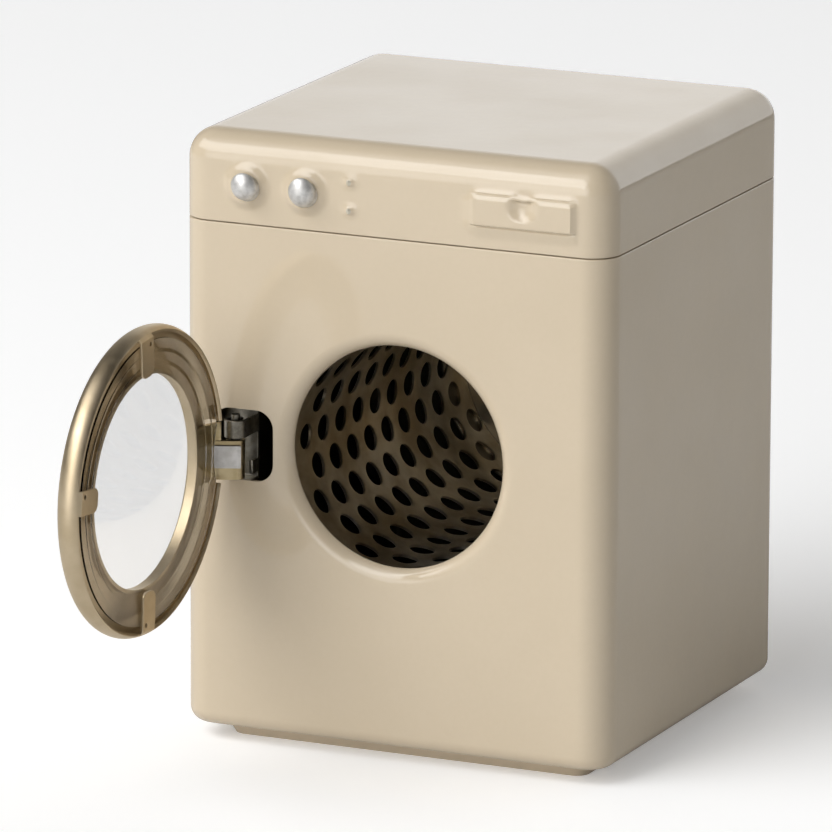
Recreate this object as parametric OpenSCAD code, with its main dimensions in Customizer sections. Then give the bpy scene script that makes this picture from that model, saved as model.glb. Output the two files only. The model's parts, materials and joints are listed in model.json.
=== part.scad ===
// Toy washing machine of pressed tin: body, lid, perforated drum, round door and two knobs.
// Millimetres. The origin is the middle of the plinth's underside, the front faces -Y.

/* [Body] */
// Width of the body across the front
body_w = 60; // [54:0.5:80]
// Depth of the body from front to back
body_d = 58; // [58:0.5:80]
// Height of the body from the plinth's underside to the seam under the lid
seam_z = 69.2; // [66:0.2:90]
// Thickness of the pressed tin sheet
sheet_t = 0.6; // [0.4:0.1:0.8]
// Radius of the upright corners
corner_r = 4; // [3.7:0.1:6]
// Radius of the bend along the lower edge
bottom_r = 2; // [1.2:0.1:2.2]
// Width of the flange turned in under the body
flange_w = 3.7; // [3:0.1:3.7]

/* [Lid] */
// Height of the lid above the seam
lid_h = 11.8; // [11:0.2:20]
// Radius of the edge between the lid's sides and its top
lid_r = 4; // [2:0.1:6]
// Open seam between the body's shoulder and the lid's edge
seam_gap = 0.2; // [0.1:0.05:0.4]
// Height of the neck that the lid is pressed on
neck_h = 2.2; // [1.5:0.1:2.4]
// Clearance between the neck and the lid
neck_fit = 0.05; // [0.02:0.01:0.1]

/* [Plinth] */
// Height of the plinth below the body
plinth_h = 2; // [1:0.1:4]
// Distance from the body's side to the plinth's side
plinth_in = 3.8; // [3.8:0.1:8]
// How far the plinth's side slopes in towards its foot
plinth_slope = 1.2; // [0.4:0.1:1.8]
// Radius of the plinth's upright corners
plinth_r = 3; // [2.6:0.1:6]
// Width of the tray's flange that lies on the body's flange
tray_flange = 1.6; // [1:0.1:1.7]

/* [Back] */
// Width of the bare rim round the back opening
back_rim = 7; // [6:0.5:10]
// How far the back panel laps over the rim
back_lap = 2.5; // [1.5:0.1:3]
// Depth of the back panel's turned edge
back_edge = 3; // [1.6:0.1:5]
// Radius of the back panel's corners
back_r = 3; // [2:0.1:6]

/* [Porthole] */
// Place of the porthole to the right of the middle
porthole_x = 1; // [-1:0.1:3]
// Height of the porthole's centre
porthole_z = 40.5; // [38:0.1:46]
// Radius of the porthole
porthole_r = 14.6; // [13:0.1:15]
// Width of the soft shoulder round the porthole
shoulder_w = 2.4; // [1:0.1:2.6]
// Radius of that shoulder's curve
shoulder_r = 3.2; // [3:0.1:5]

/* [Drum] */
// Inner radius of the drum
drum_r = 15.4; // [15.1:0.1:17]
// Thickness of the drum's perforated sheet
drum_t = 0.4; // [0.3:0.05:0.6]
// Gap from the front panel's outer face to the drum's front edge
drum_front = 1.8; // [1.6:0.1:3]
// Room from the drum's back plate to the body's back face
drum_rear = 2.2; // [2:0.1:3]
// Number of rows of holes round the drum
hole_rows = 22; // [12:2:22]
// Diameter of the drum's holes
hole_d = 3.45; // [1.5:0.05:3.6]
// Distance between the holes of one row
hole_pitch = 5.36; // [4.6:0.01:8]
// Distance from the drum's front edge to its first hole
hole_edge = 3.3; // [2.4:0.1:6]
// Turn of the pattern of holes about the drum's axis
hole_turn = 17.6; // [0:0.1:32]
// Thickness of the drum's back plate
back_t = 0.6; // [0.4:0.05:0.8]
// Clearance between the drum and the back plate's rim
rim_fit = 0.02; // [0.01:0.01:0.1]
// Depth of the back plate's rim over the drum
rim_depth = 5.8; // [2:0.1:7]
// Radius of the dish pressed in the back plate
dish_r = 10; // [9.4:0.1:12]
// Depth of that dish
dish_depth = 5; // [4.6:0.1:6]

/* [Drum bearing] */
// Radius of the axle
axle_r = 1; // [0.8:0.05:1.4]
// Radius of the axle's head inside the drum
axle_head_r = 2.4; // [1.8:0.1:4]
// Height of that head
axle_head_h = 1.1; // [0.5:0.1:2]
// Radial running clearance of the axle in its bush
axle_play = 0.05; // [0.02:0.01:0.1]
// End play on each side of the bush
end_play = 0.1; // [0.05:0.05:0.2]
// Wall of the bush
bush_wall = 0.65; // [0.5:0.05:1]
// Radius of the bush's flange, of the washer and of the retainer
bush_flange_r = 2.7; // [2.4:0.1:3.4]
// Thickness of the washer and of the bush's flange
washer_t = 0.5; // [0.3:0.05:0.6]
// Thickness of the retainer at the axle's end
retainer_t = 0.6; // [0.4:0.05:0.8]
// Axle left standing past the retainer
axle_tail = 0.4; // [0.2:0.05:0.8]
// Thickness of the bearing bracket
bracket_t = 0.8; // [0.5:0.1:1]
// Half the width of the bearing bracket's bridge
bridge_w = 7; // [5:0.1:7.4]
// Height of the bearing bracket
bridge_h = 8; // [6:0.1:9]
// Length of each foot of the bearing bracket
bridge_foot = 4; // [2:0.1:8]

/* [Door] */
// Largest radius of the door ring
door_r = 20.2; // [19.6:0.1:21]
// How much narrower the ring is at its rim
door_taper = 0.7; // [0:0.1:1]
// Height of the ring's tapered side
door_side = 1.6; // [1.2:0.1:3]
// Radius of the ring's outer edge
crown_r = 2; // [1:0.1:2.4]
// Thickness of the ring's brass sheet
ring_t = 0.5; // [0.3:0.05:0.6]
// Radius of the door's window opening
aperture_r = 13.6; // [12:0.1:14]
// Radius of the bend into that opening
lip_r = 0.8; // [0.6:0.05:1.2]
// Straight length of the lip round that opening
lip_h = 0.9; // [0.2:0.1:0.9]
// Gap between the closed door's rim and the front panel
door_gap = 0.3; // [0.2:0.05:0.6]
// How far the door stands open at rest
door_open = 91; // [60:1:100]
// Number of lugs folded over the window
lugs = 3; // [3:1:3]
// Width of a lug
lug_w = 3.6; // [2:0.1:5]
// How far a lug stops short of the opening's edge
lug_short = 0.5; // [0.2:0.1:2]
// Height of the notch in the ring's side for the hinge
notch_h = 9.6; // [9.4:0.1:11]
// How far the notch reaches in past the ring's bent edge
notch_in = 1.2; // [1:0.1:2]

/* [Window] */
// Thickness of the clear window
window_t = 0.7; // [0.4:0.05:0.8]
// Gap between the window's edge and the ring
window_gap = 0.3; // [0.1:0.05:0.6]
// Drop of each of the window's two steps
window_step = 0.35; // [0.1:0.05:0.4]
// Width of each of those steps
step_w = 1.7; // [1:0.1:1.9]

/* [Hinge] */
// How far the pin's axis stands beside the door's largest radius
pin_beside = 2.7; // [2.4:0.1:3.2]
// How far the pin's axis stands in front of the front panel
pin_out = 0.2; // [0:0.05:0.4]
// Radius of the hinge pin
pin_r = 0.6; // [0.4:0.05:0.7]
// Radial running clearance on the pin
pin_play = 0.05; // [0.02:0.01:0.1]
// Radius of the pin's head
pin_head_r = 0.95; // [0.8:0.05:1.1]
// Thickness of the pin's head
pin_head_t = 0.25; // [0.15:0.05:0.4]
// Radius of the brass eye
eye_r = 1.25; // [1.1:0.05:1.35]
// Radius of the steel knuckle
knuckle_r = 1.5; // [1.3:0.05:1.6]
// Height of the steel knuckle
knuckle_h = 2.9; // [1.5:0.1:3]
// Height of the brass leaf
leaf_h = 5.2; // [4:0.1:5.2]
// Thickness of the brass leaf
leaf_t = 0.5; // [0.3:0.05:0.6]
// Height of the steel plate on the leaf
plate_h = 3; // [1.5:0.1:3.2]
// Height of the bare leaf below the plate
plate_drop = 1.6; // [1:0.1:1.8]
// Length of the steel plate
plate_run = 3.5; // [2:0.1:3.6]
// Thickness of the steel plate
plate_t = 0.3; // [0.2:0.05:0.45]
// Gap between the brass eye, the steel knuckle and the pin's head
eye_gap = 0.1; // [0.05:0.05:0.15]
// Width of the cut-out for the hinge
cutout_w = 8.5; // [8:0.1:9]
// Height of the cut-out
cutout_h = 9.4; // [9:0.1:10]
// Radius of the cut-out's corners
cutout_r = 2.4; // [1:0.1:3]
// Drop of the hinge's middle below the porthole's centre
hinge_drop = 0.3; // [0:0.1:0.6]
// Place of the cut-out's middle to the right of the pin
cutout_shift = 0.95; // [0.5:0.05:1.2]
// Lean of the leaf's arm from the door's axis
arm_lean = 28; // [20:1:32]
// Gap between the leaf's end and the ring's lip
leaf_short = 1.1; // [0.8:0.1:3]
// Gap under the pin's head
pin_clear = 0.15; // [0.05:0.05:0.3]
// Height of the bracket's lower prop beside the leaf
prop_h = 1.8; // [1:0.1:3]
// Gap between the prop and the leaf's eye
prop_gap = 0.4; // [0.3:0.1:1]
// Gap between the hinge bracket and the bend of the body's corner
strip_side = 0.2; // [0.1:0.05:1]
// Thickness of the hinge bracket
strip_t = 0.5; // [0.3:0.05:0.6]
// How far the hinge bracket stands off the front panel
strip_off = 2.7; // [2.4:0.1:4]
// Gap between the cut-out's edge and the hinge bracket's legs
leg_gap = 0.2; // [0.1:0.05:0.6]
// Length of each foot of the hinge bracket
strip_foot = 3.6; // [2:0.1:5]

/* [Knobs] */
// Place of the left knob across the front
knob_left_x = -20.4; // [-22:0.1:-19]
// Place of the right knob across the front
knob_right_x = -12.2; // [-13:0.1:-10]
// Height of the knobs, pips and drawer above the seam
row_z = 5.1; // [4:0.1:6]
// Radius of a knob's head
knob_r = 1.9; // [1.4:0.05:2.1]
// Height of its dome
knob_h = 1.2; // [0.8:0.05:1.6]
// Radius of the collar that the head stands on, at the lid
collar_r = 1.6; // [1.2:0.05:1.8]
// How much narrower the collar is under the head
collar_taper = 0.3; // [0:0.05:0.4]
// Height of that collar
collar_h = 1; // [0.3:0.1:1.6]
// Radius of its shank
shank_r = 0.75; // [0.5:0.05:0.9]
// Radial running clearance of the shank
shank_play = 0.05; // [0.02:0.01:0.1]
// Gap under the knob's collar and behind the lid's wall
knob_gap = 0.1; // [0.05:0.05:0.2]
// Radius of the washer behind a knob
knob_washer_r = 1.9; // [1.5:0.05:2.4]
// Thickness of that washer and of the clinched tail
clinch_t = 0.4; // [0.2:0.05:0.6]
// Radius of the raised boss under a knob
boss_r = 3.2; // [2.6:0.1:3.6]
// Height of that boss
boss_h = 0.4; // [0.2:0.05:0.6]

/* [Pressed details] */
// Place of the two pips across the front
pip_x = -5.9; // [-7:0.1:-4]
// Distance between the pips
pip_gap = 3.7; // [2.5:0.1:4.5]
// Radius of a pip
pip_r = 0.45; // [0.3:0.05:0.7]
// Radius of the low mound under a pip
mound_r = 1.3; // [1:0.1:1.6]
// Height of that mound
mound_h = 0.2; // [0.1:0.05:0.4]
// Place of the soap drawer across the front
drawer_x = 18.1; // [14:0.1:20]
// Width of the soap drawer's front
drawer_w = 13.1; // [8:0.1:14]
// Height of the soap drawer's front
drawer_h = 3.9; // [3:0.1:4.4]
// Bare margin of the raised pad round the drawer's front
drawer_pad = 0.9; // [0.4:0.1:1.1]
// Height of the pad, and of the drawer's front on it
drawer_rise = 0.3; // [0.15:0.05:0.4]
// Radius of the corners of the drawer's front
drawer_r = 0.4; // [0.2:0.1:1]
// Width of the notch in the drawer's upper edge
drawer_notch_w = 3; // [1.5:0.1:4]
// Depth of that notch
drawer_notch_h = 0.5; // [0.2:0.1:1]
// Radius of the finger cup below the notch
cup_r = 1.9; // [1:0.1:2.2]
// Depth of that cup
cup_depth = 0.5; // [0.2:0.05:0.6]

/* [Hidden] */
$fn = 64;
eps = 0.01;
cut = 4;
hole_cut = 1;

// Body and lid
front_y = -body_d / 2;
rear_y = body_d / 2;
lip_in = min(flange_w, corner_r);
neck_in = sheet_t + neck_fit;
lid_bend = min(lid_r, corner_r);
lid_top = seam_z + lid_h;
floor_z = plinth_h + sheet_t;
tray_top = floor_z + sheet_t;

// Back opening and panel
opening_w = body_w - 2 * back_rim;
opening_low = floor_z + back_rim;
opening_high = seam_z - back_rim;
panel_w = opening_w + 2 * back_lap;
panel_h = opening_high - opening_low + 2 * back_lap;
opening_z = (opening_low + opening_high) / 2;
panel_bend = 2 * sheet_t;

// Drum, as depths behind the front face
drum_plate = body_d - drum_rear - back_t;
drum_out = drum_r + drum_t;
hole_start = drum_front + hole_edge;
dish_front = drum_plate - dish_depth;
axle_seat = dish_front + back_t;
bush_seat = axle_seat + washer_t + end_play;
bridge_front = bush_seat + washer_t;
bush_r = axle_r + axle_play + bush_wall;
bush_end = bridge_front + bracket_t + bush_wall;
retainer_seat = bush_end + end_play;
axle_end = retainer_seat + retainer_t + axle_tail;
panel_face = body_d - 2 * sheet_t;
hole_count = floor((drum_plate - drum_front - hole_edge - hole_d / 2) / hole_pitch);

// Door, with heights above the plane of its rim
rim_plane = front_y - door_gap;
door_top = door_side + crown_r;
under_crown = door_top - ring_t;
lip_end = door_top - lip_r - lip_h;
pane_low = lip_end - window_t;
flange_low = pane_low - 2 * window_step;
window_r = door_r - door_taper - ring_t - window_gap;
lug_t = min(ring_t, flange_low);
lug_bend = window_r - step_w - window_t / 2;

// Hinge, with the eyes stacked up from the cut-out's lower edge
pin_x = porthole_x - door_r - pin_beside;
strip_x = pin_x + knuckle_r - strip_t / 2;
strip_w = strip_x + strip_t / 2 - strip_side - corner_r + body_w / 2;
hinge_z = porthole_z - hinge_drop;
cutout_low = hinge_z - cutout_h / 2;
cutout_x = pin_x + cutout_shift;
leaf_low = cutout_low + pin_clear + pin_head_t + eye_gap / 2;
plate_low = leaf_low + plate_drop;
knuckle_low = leaf_low + leaf_h + eye_gap;
pin_y = front_y - pin_out;
leaf_at = under_crown - leaf_t / 2;
pin_local = [pin_x - porthole_x, pin_out - door_gap];
arm_dir = [sin(arm_lean), cos(arm_lean)];
arm_side = [cos(arm_lean), -sin(arm_lean)];
arm_local = pin_local + arm_side * (eye_r - leaf_t / 2);
bend_local = arm_local + arm_dir * (leaf_at - arm_local[1]) / arm_dir[1];
leaf_inner = -(aperture_r + leaf_short);

// Knobs
knob_x = [knob_left_x, knob_right_x];
knob_z = seam_z + row_z;
collar_base = boss_h + knob_gap;
head_base = collar_base + collar_h;
washer_seat = sheet_t + knob_gap;

// A rectangle with round corners, centred
module rounded(w, h, r) {
    square([w - 2 * r, h], center = true);
    square([w, h - 2 * r], center = true);
    for (x = [-1, 1], y = [-1, 1])
        translate([x * (w / 2 - r), y * (h / 2 - r)])
            circle(r);
}

// A quarter of bent sheet, of outer radius r, in the quadrant of +X and +Y
module bend(r, t) {
    intersection() {
        difference() {
            circle(r);
            circle(r - t);
        }
        square(r);
    }
}

// A low dome of base radius r and height h, standing on the plane Z = 0
module dome(r, h) {
    ball = (r * r + h * h) / (2 * h);
    rotate_extrude()
        intersection() {
            translate([0, h - ball])
                circle(ball);
            square([r, h]);
        }
}

// Carries a section round a rectangle with corners of radius r; the section's X is
// measured outwards from the corner's centre and its Y is the height
module round_rim(w, d, r) {
    for (i = [0:3]) {
        a = i % 2 == 0 ? w : d;
        b = i % 2 == 0 ? d : w;
        rotate([0, 0, 90 * i])
            translate([a / 2 - r, b / 2 - r, 0]) {
                rotate_extrude(angle = 90)
                    children();
                rotate([90, 0, 0])
                    linear_extrude(b - 2 * r)
                        children();
            }
    }
}

// A straight strip of sheet between two points, with round ends
module strip(p, q, t) {
    dir = q - p;
    translate(p)
        rotate(atan2(dir[1], dir[0]))
            translate([0, -t / 2])
                square([norm(dir), t]);
    translate(p)
        circle(d = t);
    translate(q)
        circle(d = t);
}

// Turns a shape so that its +Z points out of the front, at a place on the front face
module on_front(x, z) {
    translate([x, front_y, z])
        rotate([90, 0, 0])
            children();
}

// Turns a shape so that its +Z points back from the front face, along the drum's axis
module on_drum_axis() {
    translate([porthole_x, front_y, porthole_z])
        rotate([-90, 0, 0])
            children();
}

// Places a shape of the closed door on the door as it stands open
module on_door() {
    translate([pin_x, pin_y, 0])
        rotate([0, 0, -door_open])
            translate([porthole_x - pin_x, rim_plane - pin_y, porthole_z])
                rotate([90, 0, 0])
                    children();
}

// Raises a section of the hinge, drawn in the closed door's plan, to its height
module on_hinge(low, h) {
    on_door()
        translate([0, low - porthole_z, 0])
            mirror([0, 1, 0])
                rotate([90, 0, 0])
                    linear_extrude(h)
                        children();
}

module body_section() {
    translate([corner_r - lip_in, plinth_h])
        square([lip_in - bottom_r, sheet_t]);
    translate([corner_r - bottom_r, plinth_h + bottom_r])
        mirror([0, 1])
            bend(bottom_r, sheet_t);
    translate([corner_r - sheet_t, plinth_h + bottom_r])
        square([sheet_t, seam_z - plinth_h - bottom_r]);
    translate([corner_r - neck_in - sheet_t, seam_z - sheet_t])
        square([neck_in + sheet_t, sheet_t]);
    translate([corner_r - neck_in - sheet_t, seam_z - sheet_t])
        square([sheet_t, sheet_t + neck_h]);
}

module porthole_shoulder() {
    rotate_extrude()
        translate([porthole_r + shoulder_w, shoulder_r])
            intersection() {
                difference() {
                    circle(shoulder_r);
                    circle(shoulder_r - sheet_t);
                }
                translate([-shoulder_w, -shoulder_r])
                    square([shoulder_w, shoulder_r]);
            }
}

module body_shell() {
    color("wheat") {
        difference() {
            round_rim(body_w, body_d, corner_r)
                body_section();
            translate([0, rear_y, opening_z])
                rotate([90, 0, 0])
                    linear_extrude(cut, center = true)
                        rounded(opening_w, opening_high - opening_low, back_r);
            on_front(cutout_x, hinge_z)
                linear_extrude(cut, center = true)
                    rounded(cutout_w, cutout_h, cutout_r);
            on_drum_axis()
                cylinder(r = porthole_r + shoulder_w, h = cut, center = true);
        }
        on_drum_axis()
            porthole_shoulder();
    }
}

module back_panel() {
    color("wheat")
        translate([0, rear_y - sheet_t, opening_z])
            rotate([90, 0, 0]) {
                linear_extrude(sheet_t)
                    rounded(panel_w - 2 * panel_bend, panel_h - 2 * panel_bend, back_r - panel_bend);
                round_rim(panel_w, panel_h, back_r)
                    panel_section();
            }
}

module panel_section() {
    translate([back_r - panel_bend, panel_bend])
        mirror([0, 1])
            bend(panel_bend, sheet_t);
    translate([back_r - sheet_t, panel_bend])
        square([sheet_t, back_edge - panel_bend]);
}

module lid_section() {
    translate([corner_r - sheet_t, seam_z + seam_gap])
        square([sheet_t, lid_h - lid_bend - seam_gap]);
    translate([corner_r - lid_bend, lid_top - lid_bend])
        bend(lid_bend, sheet_t);
}

module drawer_front() {
    difference() {
        rounded(drawer_w, drawer_h, drawer_r);
        translate([0, drawer_h / 2])
            square([drawer_notch_w, 2 * drawer_notch_h], center = true);
    }
}

// The hollow of the finger cup, whose circle's centre is level with the notch's lower half
module finger_cup() {
    ball = (cup_r * cup_r + cup_depth * cup_depth) / (2 * cup_depth);
    edge = drawer_h / 2 - drawer_notch_h;
    intersection() {
        translate([0, edge - drawer_notch_h, 2 * drawer_rise - cup_depth + ball])
            sphere(ball);
        translate([-cup_r, edge - 2 * cup_r, -sheet_t])
            cube([2 * cup_r, 2 * cup_r, 2 * sheet_t + 2 * drawer_rise]);
    }
}

module lid() {
    color("wheat")
        difference() {
            union() {
                round_rim(body_w, body_d, corner_r)
                    lid_section();
                translate([0, 0, lid_top - sheet_t])
                    linear_extrude(sheet_t)
                        rounded(body_w - 2 * lid_bend, body_d - 2 * lid_bend,
                                max(corner_r - lid_bend, eps));
                for (x = knob_x)
                    on_front(x, knob_z)
                        translate([0, 0, -eps])
                            cylinder(r1 = boss_r, r2 = boss_r - 2 * boss_h, h = boss_h + eps);
                for (side = [-1, 1])
                    on_front(pip_x, knob_z + side * pip_gap / 2) {
                        dome(mound_r, mound_h);
                        dome(pip_r, mound_h + pip_r);
                    }
                on_front(drawer_x, knob_z) {
                    linear_extrude(drawer_rise)
                        rounded(drawer_w + 2 * drawer_pad, drawer_h + 2 * drawer_pad,
                                drawer_r + drawer_pad);
                    linear_extrude(2 * drawer_rise)
                        drawer_front();
                }
            }
            for (x = knob_x)
                on_front(x, knob_z)
                    cylinder(r = shank_r + shank_play, h = cut, center = true);
            on_front(drawer_x, knob_z)
                finger_cup();
        }
}

module tray_section() {
    polygon([[plinth_r, tray_top], [plinth_r, plinth_h], [plinth_r - plinth_slope, 0],
             [plinth_r - plinth_slope - sheet_t, 0], [plinth_r - sheet_t, plinth_h],
             [plinth_r - sheet_t, tray_top]]);
    translate([plinth_r - sheet_t, floor_z])
        square([tray_flange + sheet_t, sheet_t]);
}

module base_tray() {
    tray_w = body_w - 2 * plinth_in;
    tray_d = body_d - 2 * plinth_in;
    foot_in = plinth_slope + sheet_t / 2;
    color("tan") {
        round_rim(tray_w, tray_d, plinth_r)
            tray_section();
        linear_extrude(sheet_t)
            rounded(tray_w - 2 * foot_in, tray_d - 2 * foot_in, plinth_r - foot_in);
    }
}

module hinge_bracket() {
    web_y = front_y + sheet_t + strip_off;
    web_h = cutout_h + 2 * (strip_t + leg_gap);
    color("gray") {
        translate([strip_x + strip_t / 2 - strip_w / 2, 0, hinge_z])
            rotate([90, 0, 90])
                linear_extrude(strip_w, center = true)
                    for (side = [0, 1])
                        mirror([0, side]) {
                            translate([web_y, 0])
                                square([strip_t, web_h / 2]);
                            translate([front_y + sheet_t, web_h / 2 - strip_t])
                                square([strip_off + strip_t, strip_t]);
                            translate([front_y + sheet_t, web_h / 2 - strip_t])
                                square([strip_t, strip_foot + strip_t]);
                        }
        translate([0, 0, leaf_low])
            linear_extrude(prop_h)
                strip([strip_x, pin_y + knuckle_r + prop_gap], [strip_x, web_y + strip_t / 2], strip_t);
        translate([0, 0, knuckle_low])
            linear_extrude(knuckle_h)
                difference() {
                    union() {
                        translate([pin_x, pin_y])
                            circle(knuckle_r);
                        strip([strip_x, pin_y], [strip_x, web_y + strip_t / 2], strip_t);
                    }
                    translate([pin_x, pin_y])
                        circle(pin_r);
                }
    }
}

module hinge_pin() {
    color("silver")
        translate([pin_x, pin_y, leaf_low - eye_gap / 2]) {
            cylinder(r = pin_r, h = knuckle_low + knuckle_h - leaf_low + eye_gap);
            translate([0, 0, -pin_head_t])
                cylinder(r = pin_head_r, h = pin_head_t);
        }
}

module hinge_leaf() {
    color("darkgoldenrod")
        on_hinge(leaf_low, leaf_h)
            difference() {
                union() {
                    translate(pin_local)
                        circle(eye_r);
                    strip(arm_local, bend_local, leaf_t);
                    strip(bend_local, [leaf_inner, leaf_at], leaf_t);
                }
                translate(pin_local)
                    circle(pin_r + pin_play);
            }
}

module hinge_plate() {
    near = arm_local + arm_side * leaf_t / 2;
    run = arm_dir * plate_run;
    rise = arm_side * plate_t;
    color("lightgray")
        on_hinge(plate_low, plate_h)
            polygon([near, near + run, near + run + rise, near + rise]);
}

module bearing_bracket() {
    half = bridge_w - bracket_t / 2;
    top = bridge_front + bracket_t / 2;
    foot = panel_face - bracket_t / 2;
    color("gray")
        on_drum_axis()
            difference() {
                rotate([90, 0, 0])
                    linear_extrude(bridge_h, center = true) {
                        strip([-half, top], [half, top], bracket_t);
                        for (side = [-1, 1]) {
                            strip([side * half, top], [side * half, foot], bracket_t);
                            strip([side * half, foot], [side * (half + bridge_foot), foot], bracket_t);
                        }
                    }
                cylinder(r = bush_r, h = 2 * body_d);
            }
}

module axle_bush() {
    color("goldenrod")
        on_drum_axis()
            difference() {
                union() {
                    translate([0, 0, bush_seat])
                        cylinder(r = bush_flange_r, h = washer_t);
                    translate([0, 0, bush_seat])
                        cylinder(r = bush_r, h = bush_end - bush_seat);
                }
                cylinder(r = axle_r + axle_play, h = 2 * body_d);
            }
}

module drum_shell() {
    color("silver")
        on_drum_axis()
            difference() {
                translate([0, 0, drum_front])
                    cylinder(r = drum_out, h = drum_plate - drum_front);
                cylinder(r = drum_r, h = 2 * body_d);
                for (i = [0:hole_rows - 1], k = [0:hole_count - i % 2])
                    rotate([0, 0, i * 360 / hole_rows + hole_turn])
                        translate([drum_r - hole_cut, 0, hole_start + (k + (i % 2) / 2) * hole_pitch])
                            rotate([0, 90, 0])
                                cylinder(d = hole_d, h = drum_t + 2 * hole_cut, $fn = 24);
            }
}

module drum_back() {
    rim_r = drum_out + rim_fit + drum_t;
    color("silver")
        on_drum_axis()
            rotate_extrude() {
                translate([drum_out + rim_fit, drum_plate - rim_depth])
                    square([drum_t, rim_depth + back_t]);
                translate([dish_r - back_t, drum_plate])
                    square([rim_r - dish_r + back_t, back_t]);
                translate([dish_r - back_t, dish_front])
                    square([back_t, dish_depth + back_t]);
                translate([axle_r, dish_front])
                    square([dish_r - axle_r, back_t]);
            }
}

module drum_axle() {
    color("silver")
        on_drum_axis() {
            translate([0, 0, dish_front])
                cylinder(r = axle_r, h = axle_end - dish_front);
            translate([0, 0, dish_front])
                mirror([0, 0, 1])
                    dome(axle_head_r, axle_head_h);
        }
}

// A flat ring on the drum's axle, at a depth behind the front face
module axle_ring(depth, t, r) {
    on_drum_axis()
        translate([0, 0, depth])
            difference() {
                cylinder(r = r, h = t);
                translate([0, 0, -eps])
                    cylinder(r = axle_r, h = t + 2 * eps);
            }
}

module axle_washer() {
    color("gainsboro")
        axle_ring(axle_seat, washer_t, bush_flange_r);
}

module axle_retainer() {
    color("gainsboro")
        axle_ring(retainer_seat, retainer_t, bush_flange_r);
}

module ring_section() {
    crown_x = door_r - crown_r;
    lip_x = aperture_r + lip_r;
    polygon([[door_r - door_taper, 0], [door_r, door_side], [door_r - ring_t, door_side],
             [door_r - door_taper - ring_t, 0]]);
    translate([crown_x, door_side])
        bend(crown_r, ring_t);
    translate([lip_x, under_crown])
        square([crown_x - lip_x, ring_t]);
    translate([lip_x, door_top - lip_r])
        mirror([1, 0])
            bend(lip_r, ring_t);
    translate([aperture_r, lip_end])
        square([ring_t, lip_h]);
}

module lug_section() {
    tip = aperture_r + lug_short;
    polygon([[door_r - door_taper - ring_t / 2, 0], [lug_bend, 0], [tip, window_step],
             [tip, window_step + lug_t], [lug_bend, lug_t], [door_r - door_taper - ring_t / 2, lug_t]]);
}

module door_ring() {
    color("darkgoldenrod")
        on_door() {
            difference() {
                rotate_extrude()
                    ring_section();
                translate([-door_r, hinge_z - porthole_z, (under_crown - eps) / 2])
                    cube([2 * (crown_r + notch_in), notch_h, under_crown + eps], center = true);
            }
            for (i = [0:lugs - 1])
                rotate([0, 0, 90 * (i - 1)])
                    rotate([90, 0, 0])
                        linear_extrude(lug_w, center = true)
                            lug_section();
        }
}

module door_window() {
    color("white", 0.4)
        on_door()
            rotate_extrude()
                for (i = [0:2]) {
                    outer = window_r - i * step_w;
                    inner = i == 2 ? 0 : outer - step_w - window_t / 2;
                    translate([inner, flange_low + i * window_step])
                        square([outer - inner, window_t]);
                }
}

module knob(x) {
    color("gainsboro")
        on_front(x, knob_z) {
            translate([0, 0, head_base])
                dome(knob_r, knob_h);
            translate([0, 0, collar_base])
                cylinder(r1 = collar_r, r2 = collar_r - collar_taper, h = collar_h);
            translate([0, 0, -washer_seat - 2 * clinch_t])
                cylinder(r = shank_r, h = washer_seat + 2 * clinch_t + head_base);
            translate([0, 0, -washer_seat - 2 * clinch_t])
                cylinder(r = (shank_r + knob_washer_r) / 2, h = clinch_t);
        }
}

module knob_washer(x) {
    color("silver")
        on_front(x, knob_z)
            translate([0, 0, -washer_seat - clinch_t])
                difference() {
                    cylinder(r = knob_washer_r, h = clinch_t);
                    translate([0, 0, -eps])
                        cylinder(r = shank_r, h = clinch_t + 2 * eps);
                }
}

module knob_left() {
    knob(knob_x[0]);
}

module knob_left_washer() {
    knob_washer(knob_x[0]);
}

module knob_right() {
    knob(knob_x[1]);
}

module knob_right_washer() {
    knob_washer(knob_x[1]);
}

body_shell();
back_panel();
lid();
base_tray();
hinge_bracket();
hinge_pin();
bearing_bracket();
axle_bush();
drum_shell();
drum_back();
drum_axle();
axle_washer();
axle_retainer();
door_ring();
door_window();
hinge_leaf();
hinge_plate();
knob_left();
knob_left_washer();
knob_right();
knob_right_washer();
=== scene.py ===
"""A toy washing machine: enamelled tin body and lid, brass door, steel hinge, knobs and tin drum.

Lengths are millimetres times MM. The origin is the middle of the plinth's underside and the
front faces -Y. The door's pieces are made as on the closed door and then swung open.
"""
import json
from math import asin, atan, atan2, cos, degrees, hypot, pi, radians, sin, sqrt

import bmesh
import bpy
from mathutils import Matrix, Vector


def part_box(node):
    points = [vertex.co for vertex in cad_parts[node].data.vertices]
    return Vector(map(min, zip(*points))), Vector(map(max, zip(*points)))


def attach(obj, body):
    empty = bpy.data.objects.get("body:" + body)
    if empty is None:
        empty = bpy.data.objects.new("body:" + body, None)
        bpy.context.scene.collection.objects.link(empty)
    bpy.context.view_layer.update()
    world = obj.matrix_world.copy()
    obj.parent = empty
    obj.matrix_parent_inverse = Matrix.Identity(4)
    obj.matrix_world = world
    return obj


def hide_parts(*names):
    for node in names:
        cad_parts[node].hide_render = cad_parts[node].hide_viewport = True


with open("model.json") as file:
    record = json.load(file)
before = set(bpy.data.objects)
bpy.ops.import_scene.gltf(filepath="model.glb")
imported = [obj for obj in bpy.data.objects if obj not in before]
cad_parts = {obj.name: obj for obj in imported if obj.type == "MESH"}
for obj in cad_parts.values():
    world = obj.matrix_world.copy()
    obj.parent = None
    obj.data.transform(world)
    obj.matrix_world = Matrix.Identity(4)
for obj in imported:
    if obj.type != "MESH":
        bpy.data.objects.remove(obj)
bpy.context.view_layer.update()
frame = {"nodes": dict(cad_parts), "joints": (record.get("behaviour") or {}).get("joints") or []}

MM = 0.001

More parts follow.
